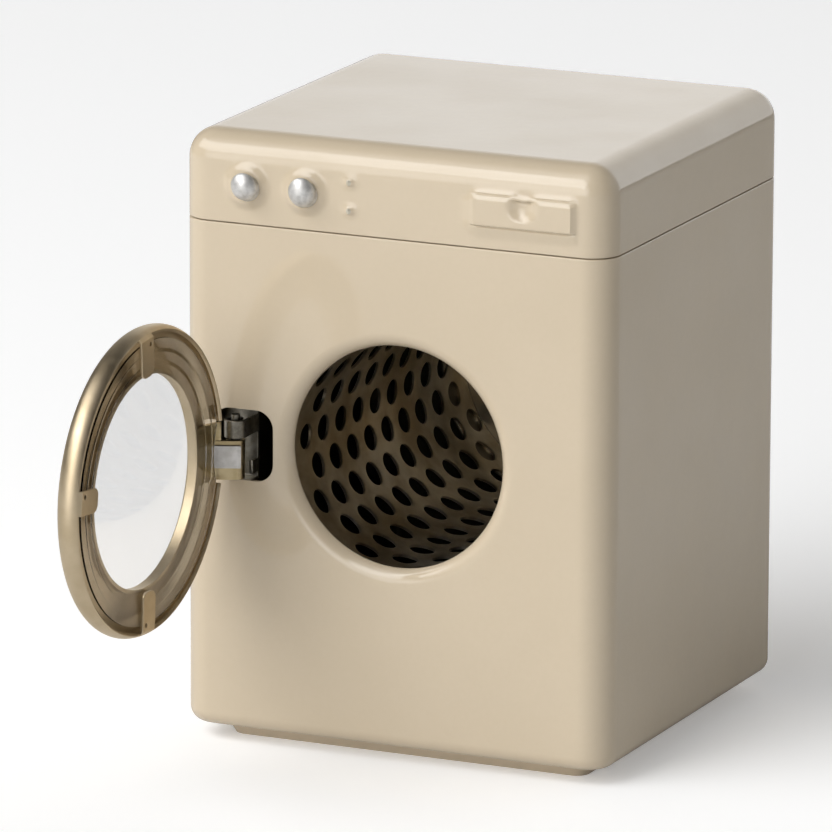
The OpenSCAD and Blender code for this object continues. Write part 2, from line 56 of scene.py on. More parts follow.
# ---- sizes from the frame
shell_low, shell_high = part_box("body_shell")
drum_low, drum_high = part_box("drum_shell")
leaf_low, leaf_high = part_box("hinge_leaf")
plate_low, plate_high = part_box("hinge_plate")
FRONT = shell_low.y
BACK = shell_high.y
HALF_W = shell_high.x
PORT = Vector(((drum_low.x + drum_high.x) / 2, FRONT, (drum_low.z + drum_high.z) / 2))
PIN = Vector(next(j["pos_m"] for j in frame["joints"] if j["name"] == "door_hinge"))
DOOR_OPEN = radians(91)

# ---- sizes of the pressed body
SHEET = 0.6 * MM
CORNER_R = 4 * MM
# the lower edge is rounded and turned in under the body
FOOT_R = 2 * MM
FOOT_IN = 3.7 * MM
# the neck that the lid is pushed on steps in above the seam
SEAM_Z = 69.2 * MM
NECK_IN = 0.65 * MM
NECK_BEND = 0.16 * MM
NECK_TOP = shell_high.z
# the porthole and the soft shoulder pressed round it, a little beside the drum's middle
PORT_R = 14.6 * MM
PORT_ASIDE = -0.6 * MM
SHOULDER_W = 2.0 * MM
SHOULDER_R = 2.15 * MM
SHOULDER_STEPS = 10
# the hinge's cut-out in the front and the opening in the back
CUTOUT_W = 8.5 * MM
CUTOUT_H = 9.4 * MM
CUTOUT_R = 2.4 * MM
CUTOUT = Vector((PIN.x + 0.95 * MM, FRONT, PIN.z))
BACK_W = 46 * MM
BACK_H = 52.6 * MM
BACK_Z = 35.9 * MM
BACK_R = 3 * MM
CUTTER_DEPTH = 4 * MM
ROUND_CUTTER_DEPTH = 3 * MM
# how close two places count as one, and how true a direction along an axis has to be
SLACK = 0.01 * MM
TRUE = 0.99


# ---- modelling helpers
def in_mm(*points):
    """Points given in millimetres, in metres."""
    return [tuple(part * MM for part in point) for point in points]


def clear_selection():
    bpy.ops.object.select_all(action="DESELECT")


def select_alone(piece):
    clear_selection()
    piece.select_set(True)
    bpy.context.view_layer.objects.active = piece


def work_on(piece):
    """Selects one piece alone and opens it for editing."""
    select_alone(piece)
    bpy.ops.object.mode_set(mode="EDIT")


def done():
    bpy.ops.object.mode_set(mode="OBJECT")


def start(name):
    """Names the primitive just added and opens it with everything selected."""
    piece = bpy.context.object
    piece.name = name
    piece.data.name = name
    work_on(piece)
    bpy.ops.mesh.select_mode(type="VERT")
    select_everything()
    return piece


def select_everything():
    bpy.ops.mesh.select_all(action="SELECT")


def face_outwards():
    select_everything()
    bpy.ops.mesh.normals_make_consistent(inside=False)


def shift(x, y, z):
    bpy.ops.transform.translate(value=(x, y, z))


def stretch(x, y, z, centre=(0, 0, 0)):
    bpy.ops.transform.resize(value=(x, y, z), center_override=tuple(centre))


def extrude(x=0.0, y=0.0, z=0.0):
    bpy.ops.mesh.extrude_region_move(TRANSFORM_OT_translate={"value": (x, y, z)})


def round_edges(radius, segments):
    bpy.ops.mesh.bevel(offset=radius, segments=segments, affect="EDGES")


def delete_faces():
    bpy.ops.mesh.delete(type="FACE")


def pick(kind, test):
    """Selects the vertices, edges or faces whose middle passes the test."""
    bpy.ops.mesh.select_mode(type=kind)
    bpy.ops.mesh.select_all(action="DESELECT")
    mesh = bmesh.from_edit_mesh(bpy.context.edit_object.data)
    for item in {"VERT": mesh.verts, "EDGE": mesh.edges, "FACE": mesh.faces}[kind]:
        if test(item, middle(item)):
            item.select_set(True)
    mesh.select_flush_mode()
    bmesh.update_edit_mesh(bpy.context.edit_object.data)


def middle(item):
    if isinstance(item, bmesh.types.BMVert):
        return item.co
    return sum((vertex.co for vertex in item.verts), Vector()) / len(item.verts)


def runs_along(edge, axis):
    step = edge.verts[0].co - edge.verts[1].co
    return abs(step[axis]) > TRUE * step.length


def near(value, other):
    return abs(value - other) < SLACK


def block(name, low, high):
    """A cube between two corners, open for editing."""
    bpy.ops.mesh.primitive_cube_add(size=1, location=(0, 0, 0))
    piece = start(name)
    stretch(*(Vector(high) - Vector(low)))
    shift(*((Vector(high) + Vector(low)) / 2))
    return piece


def finish_with(piece, kind, **settings):
    """Adds a modifier and applies it."""
    select_alone(piece)
    modifier = piece.modifiers.new(kind.title(), kind)
    for key, value in settings.items():
        setattr(modifier, key, value)
    bpy.ops.object.modifier_apply(modifier=modifier.name)


def thicken(piece, thickness, offset=-1, material_offset=0):
    """Gives a bare surface the thickness of its sheet."""
    work_on(piece)
    select_everything()
    bpy.ops.mesh.remove_doubles(threshold=SLACK / 5)
    face_outwards()
    done()
    finish_with(piece, "SOLIDIFY", thickness=thickness, offset=offset, use_even_offset=True,
                material_offset=material_offset)


def smooth(piece, angle):
    """Shades a piece smooth across edges flatter than the angle."""
    select_alone(piece)
    bpy.ops.object.shade_smooth_by_angle(angle=radians(angle))


def soften(piece, width, sharp, angle):
    """Rounds sharp edges so that they catch the light, and shades the piece."""
    finish_with(piece, "BEVEL", width=width, segments=2, limit_method="ANGLE",
                angle_limit=radians(sharp), use_clamp_overlap=True)
    smooth(piece, angle)
    finish_with(piece, "WEIGHTED_NORMAL", keep_sharp=True)


def subtract(piece, cutter):
    """Cuts one piece out of another and throws the cutter away."""
    finish_with(piece, "BOOLEAN", object=cutter, operation="DIFFERENCE", solver="EXACT")
    bpy.data.objects.remove(cutter)


def place(piece, matrix):
    """Moves a piece and keeps the place in its mesh."""
    select_alone(piece)
    piece.matrix_world = matrix
    bpy.ops.object.transform_apply(location=True, rotation=True, scale=True)


def copy_of(piece, name):
    """A copy with its own mesh."""
    twin = piece.copy()
    twin.data = piece.data.copy()
    twin.name = name
    twin.data.name = name
    bpy.context.scene.collection.objects.link(twin)
    return twin


def join(pieces, name):
    """Joins pieces into the first of them."""
    clear_selection()
    for piece in pieces:
        piece.select_set(True)
    bpy.context.view_layer.objects.active = pieces[0]
    bpy.ops.object.join()
    pieces[0].name = name
    pieces[0].data.name = name
    return pieces[0]


def lathe(name, outline, steps, closed=False):
    """Sheet turned about Z: a circle carried along an outline of (radius, height) points."""
    radius, height = outline[0]
    bpy.ops.mesh.primitive_circle_add(vertices=steps, radius=radius, location=(0, 0, 0))
    piece = start(name)
    shift(0, 0, height)
    for next_radius, next_height in outline[1:]:
        extrude()
        if next_radius == 0:
            shift(0, 0, next_height - height)
            bpy.ops.mesh.merge(type="CENTER")
            break
        ratio = next_radius / radius
        stretch(ratio, ratio, 1)
        shift(0, 0, next_height - height)
        radius, height = next_radius, next_height
    if closed:
        select_everything()
        bpy.ops.mesh.fill_holes(sides=0)
    face_outwards()
    done()
    return piece


def arc(centre, radius, first, last, count):
    """Points of an arc between two angles in degrees."""
    points = []
    for i in range(count + 1):
        angle = radians(first + (last - first) * i / count)
        points.append((centre[0] + radius * cos(angle), centre[1] + radius * sin(angle)))
    return points


# ---- body shell
def round_cutter(name, x, y, radius, sides):
    """An upright cylinder that cuts a round hole or edge."""
    bpy.ops.mesh.primitive_cylinder_add(vertices=sides, radius=radius, depth=ROUND_CUTTER_DEPTH)
    cutter = start(name)
    shift(x, y, 0)
    done()
    return cutter


def rounded_cutter(name, centre, width, height, radius):
    """A block with round corners that cuts through the front or the back wall."""
    half = Vector((width / 2, CUTTER_DEPTH / 2, height / 2))
    cutter = block(name, centre - half, centre + half)
    pick("EDGE", lambda edge, at: runs_along(edge, 1))
    round_edges(radius, 10)
    done()
    return cutter


def open_porthole(shell):
    """Cuts the front open and bends the edge inwards in a soft shoulder."""
    hole = PORT + Vector((PORT_ASIDE, 0, 0))
    outer = PORT_R + SHOULDER_W
    bpy.ops.mesh.primitive_circle_add(vertices=128, radius=outer, fill_type="NGON")
    cutter = start("porthole_cutter")
    bpy.ops.transform.rotate(value=radians(90), orient_axis="X", center_override=(0, 0, 0))
    shift(hole.x, FRONT - CUTTER_DEPTH / 2, hole.z)
    extrude(y=CUTTER_DEPTH)
    face_outwards()
    done()
    subtract(shell, cutter)
    work_on(shell)

    def in_hole(at):
        return hypot(at.x - hole.x, at.z - hole.z) < outer + SLACK

    pick("FACE", lambda face, at: FRONT + 5 * SLACK < at.y < FRONT + CUTTER_DEPTH and in_hole(at))
    delete_faces()
    pick("EDGE", lambda edge, at: edge.is_boundary and near(at.y, FRONT) and in_hole(at))
    turn = asin(SHOULDER_W / SHOULDER_R)
    radius, depth = outer, 0.0
    for i in range(1, SHOULDER_STEPS + 1):
        angle = turn * i / SHOULDER_STEPS
        next_radius = outer - SHOULDER_R * sin(angle)
        next_depth = SHOULDER_R * (1 - cos(angle))
        extrude(y=next_depth - depth)
        stretch(next_radius / radius, 1, next_radius / radius, (hole.x, FRONT, hole.z))
        radius, depth = next_radius, next_depth
    done()


def make_body_shell():
    shell = block("body_enamel_shell", (-HALF_W, FRONT, shell_low.z), (HALF_W, BACK, SEAM_Z))
    pick("EDGE", lambda edge, at: runs_along(edge, 2))
    round_edges(CORNER_R, 16)
    pick("EDGE", lambda edge, at: near(at.z, shell_low.z))
    round_edges(FOOT_R, 10)
    pick("EDGE", lambda edge, at: near(at.z, SEAM_Z))
    round_edges(NECK_BEND, 4)
    pick("FACE", lambda face, at: near(at.z, SEAM_Z) and face.normal.z > TRUE)
    bpy.ops.mesh.inset(thickness=NECK_IN - NECK_BEND)
    extrude(z=NECK_TOP - SEAM_Z)
    delete_faces()
    pick("FACE", lambda face, at: near(at.z, shell_low.z) and face.normal.z < -TRUE)
    bpy.ops.mesh.inset(thickness=FOOT_IN - FOOT_R)
    delete_faces()
    done()
    open_porthole(shell)
    # the inner faces get the second material, a dark painted shade, and the rim the first
    shell.data.materials.append(None)
    shell.data.materials.append(None)
    thicken(shell, SHEET, material_offset=1)
    subtract(shell, rounded_cutter("cutout_cutter", CUTOUT, CUTOUT_W, CUTOUT_H, CUTOUT_R))
    back_middle = Vector((0, BACK, BACK_Z))
    subtract(shell, rounded_cutter("opening_cutter", back_middle, BACK_W, BACK_H, BACK_R))
    soften(shell, 0.12 * MM, 60, 35)
    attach(shell, "body")
    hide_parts("body_shell")
    return shell


# ---- lid and its pressed details
KNOB_Z = (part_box("knob_left")[0].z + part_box("knob_left")[1].z) / 2
KNOBS = {
    side: Vector(((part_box(node)[0].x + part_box(node)[1].x) / 2, FRONT, KNOB_Z))
    for side, node in (("left", "knob_left"), ("right", "knob_right"))
}
LID_LOW = 69.4 * MM
LID_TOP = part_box("lid")[1].z
LID_R = 4 * MM
LID_BEND_Z = LID_TOP - LID_R
LID_BEND_Y = FRONT + LID_R
# how finely the front is divided across and up before it is pressed
PRESS_CUTS = (400, 64)
# a boss is flat out to its first radius and gone at its second
BOSS_H = 0.62 * MM
BOSS_FLAT_R = 2.0 * MM
BOSS_R = 3.35 * MM
BOSS_HOLE_R = 0.95 * MM
# a pip is a small ball on a soft mound
PIP_X = -5.9 * MM
PIP_HALF_GAP = 1.85 * MM
PIP_MOUND_H = 0.2 * MM
PIP_MOUND_FLAT_R = 0.4 * MM
PIP_MOUND_R = 1.35 * MM
PIP_H = 0.42 * MM
PIP_R = 0.5 * MM
# the drawer's front, its sloped top edge and its crease
DRAWER_X = 18.3 * MM
DRAWER_Z = KNOB_Z + 0.05 * MM
DRAWER_W = 14.1 * MM
DRAWER_H = 4.1 * MM
DRAWER_R = 0.35 * MM
DRAWER_OUT = 0.34 * MM
DRAWER_SLOPE = 0.62 * MM
CREASE = 0.12 * MM
# the soft pad behind the drawer, steeper at its top than elsewhere
PAD_OVER = 0.45 * MM
PAD_R = 1.4 * MM
PAD_OUT = 0.38 * MM
PAD_TOP = 0.9 * MM
# where each of these fades begins and ends beside its edge
PAD_TOP_EDGE = (-0.4 * MM, 0.42 * MM)
PAD_SIDE_EDGE = (-0.5 * MM, 1.5 * MM)
CREASE_AT = 0.05 * MM
CREASE_EDGE = (0.02 * MM, 0.17 * MM)
DRAWER_EDGE = (-0.2 * MM, 0.02 * MM)
NOTCH_HALF_W = 1.08 * MM
NOTCH_SOFT = 0.15 * MM
NOTCH_DIP = 0.5 * MM
CUP_R = 1.93 * MM
CUP_BELOW = 0.75 * MM
CUP_DEPTH = 0.8 * MM
CUP_BALL_R = (CUP_R ** 2 + CUP_DEPTH ** 2) / (2 * CUP_DEPTH)


def ease(value):
    value = min(max(value, 0.0), 1.0)
    return value * value * (3 - 2 * value)


def fade(distance, full, none):
    """1 where the distance is below full, 0 where it is above none, soft between."""
    return ease((none - distance) / (none - full))


def from_rectangle(x, z, half_w, half_h, radius):
    """Distance of a point from the edge of a rectangle with round corners, negative inside."""
    over_x, over_z = abs(x) - half_w + radius, abs(z) - half_h + radius
    outside = hypot(max(over_x, 0), max(over_z, 0))
    return outside + min(max(over_x, over_z), 0) - radius


def pressed_height(x, z):
    """How far the lid's front is pressed out at a place, in metres."""
    height = 0.0
    for knob in KNOBS.values():
        distance = hypot(x - knob.x, z - knob.z)
        height += BOSS_H * fade(distance, BOSS_FLAT_R, BOSS_R)
    for sign in (-1, 1):
        distance = hypot(x - PIP_X, z - KNOB_Z - sign * PIP_HALF_GAP)
        height += PIP_MOUND_H * fade(distance, PIP_MOUND_FLAT_R, PIP_MOUND_R)
        height += PIP_H * sqrt(max(0.0, 1 - (distance / PIP_R) ** 2))
    return height + drawer_height(x - DRAWER_X, z - DRAWER_Z)


def drawer_height(across, up):
    """The drawer's front on its soft pad, dipped at the notch and hollowed by the finger cup."""
    half_w, half_h = DRAWER_W / 2, DRAWER_H / 2
    reach = hypot(across, up - half_h + NOTCH_DIP + CUP_BELOW)
    dip = fade(abs(across), NOTCH_HALF_W - NOTCH_SOFT, NOTCH_HALF_W + NOTCH_SOFT)
    up += NOTCH_DIP * dip * ease(up / half_h)
    pad = from_rectangle(across, up, half_w + PAD_OVER, half_h + PAD_OVER, PAD_R)
    at_top = ease((up - PAD_TOP) / PAD_TOP)
    height = PAD_OUT * (
        at_top * fade(pad, *PAD_TOP_EDGE) + (1 - at_top) * fade(pad, *PAD_SIDE_EDGE))
    edge = from_rectangle(across, up, half_w, half_h, DRAWER_R)
    height -= CREASE * fade(abs(edge - CREASE_AT), *CREASE_EDGE)
    top_slope = min(max((half_h - up) / DRAWER_SLOPE, 0.0), 1.0)
    side_slope = fade(edge, *DRAWER_EDGE)
    height += DRAWER_OUT * min(top_slope, side_slope)
    if reach < CUP_R and up < half_h:
        cup = sqrt(CUP_BALL_R ** 2 - reach ** 2) - CUP_BALL_R + CUP_DEPTH
        height -= cup * ease((half_h - up) / CREASE)
    return height


def make_lid():
    lid = block("lid_enamel_cover", (-HALF_W, FRONT, LID_LOW), (HALF_W, BACK, LID_TOP))
    pick("EDGE", lambda edge, at: runs_along(edge, 2) or near(at.z, LID_TOP))
    round_edges(LID_R, 20)
    pick("FACE", lambda face, at: near(at.z, LID_LOW) and face.normal.z < -TRUE)
    delete_faces()
    # the long edges across the front are divided, then the upright ones between them
    flat_half = HALF_W - LID_R
    pick("EDGE", lambda edge, at: near(at.x, 0) and runs_along(edge, 0)
         and at.y < LID_BEND_Y + SLACK and edge.calc_length() > flat_half)
    bpy.ops.mesh.subdivide(number_cuts=PRESS_CUTS[0])
    pick("EDGE", lambda edge, at: near(at.y, FRONT) and runs_along(edge, 2)
         and edge.calc_length() > LID_R and abs(at.x) < flat_half + SLACK)
    bpy.ops.mesh.subdivide(number_cuts=PRESS_CUTS[1])
    done()
    for vertex in lid.data.vertices:
        x, y, z = vertex.co
        if y > LID_BEND_Y or abs(x) > flat_half - SLACK:
            continue
        out = Vector((0, -1, 0))
        if z > LID_BEND_Z:
            out = Vector((0, y - LID_BEND_Y, z - LID_BEND_Z)).normalized()
        vertex.co += out * pressed_height(x, z)
    work_on(lid)
    pick("FACE", lambda face, at: at.y < FRONT + SLACK and any(
        hypot(at.x - knob.x, at.z - knob.z) < BOSS_HOLE_R for knob in KNOBS.values()))
    delete_faces()
    done()
    thicken(lid, SHEET)
    soften(lid, 0.15 * MM, 80, 35)
    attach(lid, "body")
    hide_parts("lid")
    return lid


# ---- knobs
HEAD_R = 1.84 * MM
HEAD_H = 1.0 * MM
HEAD_EDGE_H = 0.26 * MM
HEAD_NARROW = 0.96
HEAD_STANDS = 1.4 * MM
# each head sits bent on its collar: lean, towards where, shift across and up, height to width
KNOB_HEADS = {
    "left": (radians(8), radians(20), (0.3 * MM, 0.25 * MM), 1.0),
    "right": (radians(15), radians(40), (0.25 * MM, 0.25 * MM), 1.1),
}
COLLAR_SHIFT = Vector((0.3, -0.1, 0)) * MM
COLLAR_SIDES = 20


def make_knob(side):
    """A domed rivet head, a little bent over, on its pinched collar and its shank."""
    lean, turn, (shift_x, shift_z), tall = KNOB_HEADS[side]
    ball = (HEAD_R ** 2 + HEAD_H ** 2) / (2 * HEAD_H)
    edge = degrees(asin((ball - HEAD_H) / ball))
    dome = arc((0, HEAD_H - ball), ball, edge, 90, 14)
    outline = [(0.7 * MM, -0.5 * MM), (1.1 * MM, -0.15 * MM), (HEAD_R - 0.25 * MM, -0.12 * MM),
               (HEAD_R - 0.06 * MM, -0.05 * MM), (HEAD_R, 0.08 * MM), (HEAD_R, 0.2 * MM)]
    outline += [(radius - SLACK, height + HEAD_EDGE_H) for radius, height in dome[1:-1]]
    outline += [(0, HEAD_H + HEAD_EDGE_H)]
    head = lathe("knob_head_" + side, outline, 64, closed=True)
    tip = Matrix.Rotation(lean, 4, Vector((cos(turn), sin(turn), 0)))
    to_front = Matrix.Translation(KNOBS[side]) @ Matrix.Rotation(radians(90), 4, "X")
    place(head, to_front @ Matrix.Translation((shift_x, shift_z, HEAD_STANDS)) @ tip
          @ Matrix.Diagonal((HEAD_NARROW, tall, 1, 1)))
    shank_outline = in_mm((1.15, -1.5), (1.15, -1.1), (0.75, -1.1), (0.75, 0.5), (1.7, 0.5),
                          (1.78, 0.6), (1.74, 0.75), (1.5, 1.15), (1.3, 1.55))
    shank = lathe("knob_shank_" + side, shank_outline, COLLAR_SIDES, closed=True)
    place(shank, to_front @ Matrix.Translation(COLLAR_SHIFT))
    knob = join([head, shank], "knob_" + side + "_rivet")
    smooth(knob, 17)
    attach(knob, side + "_knob")
    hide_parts("knob_" + side)
    return knob


# ---- door
BRASS = 0.5 * MM
# the closed door's rim stands this far before the front
RIM_PLANE = FRONT - 0.3 * MM
# the ring's side is swollen and tapers to the rim, its crown slopes in to the lip
DOOR_R = 20.15 * MM
TAPER = 0.5 * MM
SIDE_H = 1.4 * MM
CROWN_R = 2 * MM
APERTURE_R = 13.85 * MM
LIP_R = 0.35 * MM
LIP_TOP = 2.5 * MM
LIP_END = 0.95 * MM
# the notch in the side that the hinge's leaf comes in by
NOTCH_HALF = 3.95 * MM
NOTCH_IN = 3.2 * MM
# the window: a pane with a flange in two steps, cut away beside the hinge
WINDOW_R = 18.5 * MM
FLANGE_UP = 0.16 * MM
STEP_W = 1.6 * MM
STEP_H = 0.1 * MM
PANE_T = 0.3 * MM
WINDOW_CUT_R = 9 * MM
WINDOW_CUT_AWAY = 7.9 * MM
# the three lugs: where each stands round the ring and how far in it ends
LUG_TURNS = (-87.4, 4.7, 83.7)
LUG_ENDS = (14.1 * MM, 14.8 * MM, 14.2 * MM)
LUG_W = 3.2 * MM
LUG_T = 0.34 * MM
LUG_END_R = 1.1 * MM
LUG_HOLE_R = 0.3 * MM
LUG_FOOT_R = DOOR_R - TAPER
# the door hangs loose on its pin: it stands further open, sags and leans
LOOSE_OPEN = radians(1.0)
LOOSE_SAG = radians(0.15)
LOOSE_LEAN = radians(1.0)
LOOSE_DROP = 0.2 * MM

hang = (
    Matrix.Translation((PIN.x, PIN.y, PIN.z - LOOSE_DROP))
    @ Matrix.Rotation(LOOSE_LEAN, 4, "Y")
    @ Matrix.Rotation(LOOSE_SAG, 4, "X")
    @ Matrix.Rotation(-LOOSE_OPEN, 4, "Z")
    @ Matrix.Translation(-PIN)
)
to_open = (
    hang
    @ Matrix.Translation((PIN.x, PIN.y, 0))
    @ Matrix.Rotation(-DOOR_OPEN, 4, "Z")
    @ Matrix.Translation((PORT.x - PIN.x, RIM_PLANE - PIN.y, PORT.z))
    @ Matrix.Rotation(radians(90), 4, "X")
)


def swing(x, y):
    """Where a point of the closed door's plan, (x, height above the rim), lies once open."""
    closed = Vector((PORT.x + x, RIM_PLANE - y, 0)) - Vector((PIN.x, PIN.y, 0))
    opened = Matrix.Rotation(-DOOR_OPEN, 3, "Z") @ closed
    return opened.x + PIN.x, opened.y + PIN.y


def make_door_ring():
    swell = 2 * atan(TAPER / SIDE_H)
    side_r = SIDE_H / sin(swell)
    outline = arc((DOOR_R - side_r, SIDE_H), side_r, -degrees(swell), 0, 8)[:-1]
    outline += arc((DOOR_R - CROWN_R, SIDE_H), CROWN_R, 0, 100, 16)
    outline += arc((APERTURE_R + LIP_R, LIP_TOP - LIP_R), LIP_R, 105, 180, 8)
    outline += [(APERTURE_R, LIP_END)]
    ring = lathe("door_brass_ring", outline, 192)
    work_on(ring)
    pick("FACE", lambda face, at: at.x < NOTCH_IN - DOOR_R and at.z < SIDE_H + CROWN_R - BRASS
         and abs(at.y - PIN.z + PORT.z) < NOTCH_HALF)
    delete_faces()
    done()
    thicken(ring, BRASS, -1)
    soften(ring, 0.08 * MM, 50, 35)
    place(ring, to_open)
    ring = join([ring] + [make_lug(i) for i in range(len(LUG_TURNS))], "door_brass_ring")
    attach(ring, "door")
    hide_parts("door_ring")
    return ring


def make_lug(number):
    """A tab folded from the ring's rim over the window, with a round end and a small hole."""
    path = [(LUG_FOOT_R - 0.27 * MM, 0.5 * MM), (LUG_FOOT_R - 0.3 * MM, 0.22 * MM),
            (LUG_FOOT_R - 0.55 * MM, 0)]
    path += in_mm((17.6, -0.02), (16.4, 0)) + [(LUG_ENDS[number], 0.06 * MM)]
    bpy.ops.mesh.primitive_plane_add(size=MM, location=(0, 0, 0))
    lug = start("door_lug")
    bpy.ops.mesh.merge(type="CENTER")
    shift(path[0][0], -LUG_W / 2, path[0][1])
    extrude(y=LUG_W)
    select_everything()
    for (r0, z0), (r1, z1) in zip(path, path[1:]):
        extrude(x=r1 - r0, z=z1 - z0)
    pick("VERT", lambda vertex, at: near(at.x, path[-1][0]))
    bpy.ops.mesh.bevel(offset=LUG_END_R, segments=5, affect="VERTICES")
    done()
    thicken(lug, LUG_T, 1)
    hole_x = LUG_FOOT_R - 1.25 * MM
    subtract(lug, round_cutter("lug_hole_cutter", hole_x, LUG_W / 4, LUG_HOLE_R, 20))
    soften(lug, 0.07 * MM, 40, 40)
    place(lug, to_open @ Matrix.Rotation(radians(LUG_TURNS[number]), 4, "Z"))
    return lug


def make_window():
    outline = [(WINDOW_R, FLANGE_UP)]
    for level in (1, 2):
        edge = WINDOW_R - level * STEP_W
        rise = FLANGE_UP + (level - 1) * STEP_H
        outline += [(edge + beside * MM, rise + share * STEP_H)
                    for beside, share in ((0.3, 0), (0.15, 0.2), (-0.15, 0.8), (-0.3, 1))]
    pane = FLANGE_UP + 2 * STEP_H
    outline += [(9 * MM, pane), (4 * MM, pane), (0, pane)]
    window = lathe("door_clear_window", outline, 160)
    thicken(window, PANE_T, 1)
    cut_x = -WINDOW_R - WINDOW_CUT_AWAY
    subtract(window, round_cutter("window_cutter", cut_x, PIN.z - PORT.z, WINDOW_CUT_R, 64))
    soften(window, 0.06 * MM, 50, 35)
    place(window, to_open)
    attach(window, "door")
    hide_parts("door_window")
    return window


# ---- hinge
STRIP_T = 0.5 * MM
# the brass leaf: an eye rolled round the pin, a leaning arm, and a shoulder inside the ring
EYE_R = 1.25 * MM
EYE_ROLL = EYE_R - STRIP_T / 2
EYE_TURN = 318
EYE_STEPS = 24
ARM_LEAN = radians(28)
LEAF_AT = 2.3 * MM
LEAF_BEND = 0.9 * MM
LEAF_REACH = APERTURE_R + 1.1 * MM
SHOULDER_FROM = 1.9 * MM
SHOULDER_UP = 2.4 * MM
arm_dir = Vector((sin(ARM_LEAN), cos(ARM_LEAN)))
arm_side = Vector((cos(ARM_LEAN), -sin(ARM_LEAN)))
pin_plan = Vector((PIN.x - PORT.x, RIM_PLANE - PIN.y))
arm_start = pin_plan + arm_side * EYE_ROLL
arm_run = (LEAF_AT - arm_start.y) / arm_dir.y
arm_end = arm_start + arm_dir * arm_run
# the steel plate on the leaf's arm
PLATE_T = 0.3 * MM
PLATE_FROM = -0.7 * MM
PLATE_LONG = 4.2 * MM
# the bracket: a knuckle rolled round the pin above the leaf's eye, and a prop below it
KNUCKLE_R = 1.5 * MM
KNUCKLE_ROLL = KNUCKLE_R - STRIP_T / 2
KNUCKLE_LOW = 41.25 * MM
KNUCKLE_H = 2.3 * MM
PROP_H = 1.8 * MM
# its strap behind the front: two feet, two legs and the web, bent from one strip
STRAP_W = 5.4 * MM
STRAP_FOOT = 3.6 * MM
STRAP_BEND = 0.5 * MM
STRAP_HALF = CUTOUT_H / 2 + 0.2 * MM + STRIP_T / 2
FOOT_Y = FRONT + SHEET + STRIP_T / 2
WEB_Y = FOOT_Y + 2.7 * MM


def folded_strip(name, path, low, height, thickness=STRIP_T, edge=0.08 * MM):
    """Sheet bent along a path in plan, standing from low, with its edges rounded."""
    bpy.ops.mesh.primitive_plane_add(size=MM, location=(0, 0, 0))
    piece = start(name)
    bpy.ops.mesh.merge(type="CENTER")
    shift(path[0][0], path[0][1], low)
    for (x0, y0), (x1, y1) in zip(path, path[1:]):
        extrude(x1 - x0, y1 - y0, 0)
    select_everything()
    extrude(0, 0, height)
    done()
    thicken(piece, thickness, 0)
    soften(piece, edge, 50, 40)
    return piece


def make_hinge_leaf():
    path = []
    for i in range(EYE_STEPS + 1):
        angle = radians(EYE_TURN * (1 - i / EYE_STEPS))
        path.append(
            pin_plan + arm_side * EYE_ROLL * cos(angle) - arm_dir * EYE_ROLL * sin(angle))
    path += [arm_end - arm_dir * LEAF_BEND]
    for share in (0.3, 0.7):
        path.append((arm_end - arm_dir * LEAF_BEND * (1 - share)).lerp(
            arm_end + Vector((LEAF_BEND * share, 0)), share))
    path += [arm_end + Vector((LEAF_BEND, 0)), Vector((-LEAF_REACH, LEAF_AT))]
    leaf = folded_strip("hinge_brass_leaf", [swing(*point) for point in path], leaf_low.z,
                        leaf_high.z - leaf_low.z)
    shoulder_path = [arm_start + arm_dir * SHOULDER_FROM] + path[EYE_STEPS + 1:]
    tall = folded_strip("hinge_leaf_shoulder", [swing(*point) for point in shoulder_path],
                        leaf_high.z, SHOULDER_UP)
    leaf = join([leaf, tall], "hinge_brass_leaf")
    place(leaf, hang)
    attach(leaf, "door")
    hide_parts("hinge_leaf")
    return leaf


def make_hinge_plate():
    """The pale steel plate that lies on the arm of the leaf."""
    line = arm_start + arm_side * (STRIP_T + PLATE_T) / 2
    path = [swing(*(line + arm_dir * (PLATE_FROM + PLATE_LONG * i / 3))) for i in range(4)]
    plate = folded_strip("hinge_steel_plate", path, plate_low.z, plate_high.z - plate_low.z,
                         PLATE_T, 0.07 * MM)
    place(plate, hang)
    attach(plate, "door")
    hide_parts("hinge_plate")
    return plate


def make_hinge_bracket():
    side_x = PIN.x + KNUCKLE_ROLL
    path = arc((PIN.x, PIN.y), KNUCKLE_ROLL, 70, 360, 24)
    path += [(side_x, PIN.y + 1.2 * MM), (side_x, WEB_Y)]
    knuckle = folded_strip("hinge_knuckle", path, KNUCKLE_LOW, KNUCKLE_H)
    prop_path = [(side_x, PIN.y + KNUCKLE_R + 0.4 * MM), (side_x, PIN.y + 2.6 * MM),
                 (side_x, WEB_Y)]
    prop = folded_strip("hinge_prop", prop_path, leaf_low.z, PROP_H)
    corner = STRAP_BEND * 0.3
    strap_path = [
        (FOOT_Y, STRAP_HALF + STRAP_FOOT), (FOOT_Y, STRAP_HALF + STRAP_BEND),
        (FOOT_Y + corner, STRAP_HALF + corner), (FOOT_Y + STRAP_BEND, STRAP_HALF),
        (WEB_Y - STRAP_BEND, STRAP_HALF), (WEB_Y - corner, STRAP_HALF - corner),
        (WEB_Y, STRAP_HALF - STRAP_BEND),
    ]
    strap_path += [(y, -z) for y, z in reversed(strap_path)]
    strap = folded_strip("hinge_strap", strap_path, 0, STRAP_W)
    # the strip was folded lying down: its path's second direction is turned upright
    place(strap, Matrix(((0, 0, 1, side_x + STRIP_T / 2 - STRAP_W), (1, 0, 0, 0),
                         (0, 1, 0, PIN.z), (0, 0, 0, 1))))
    bracket = join([knuckle, prop, strap], "hinge_steel_bracket")
    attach(bracket, "body")
    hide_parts("hinge_bracket")
    return bracket


# ---- drum
DRUM_R = 15.4 * MM
DRUM_T = 0.4 * MM
DRUM_FRONT = drum_low.y
DRUM_LONG = drum_high.y - drum_low.y
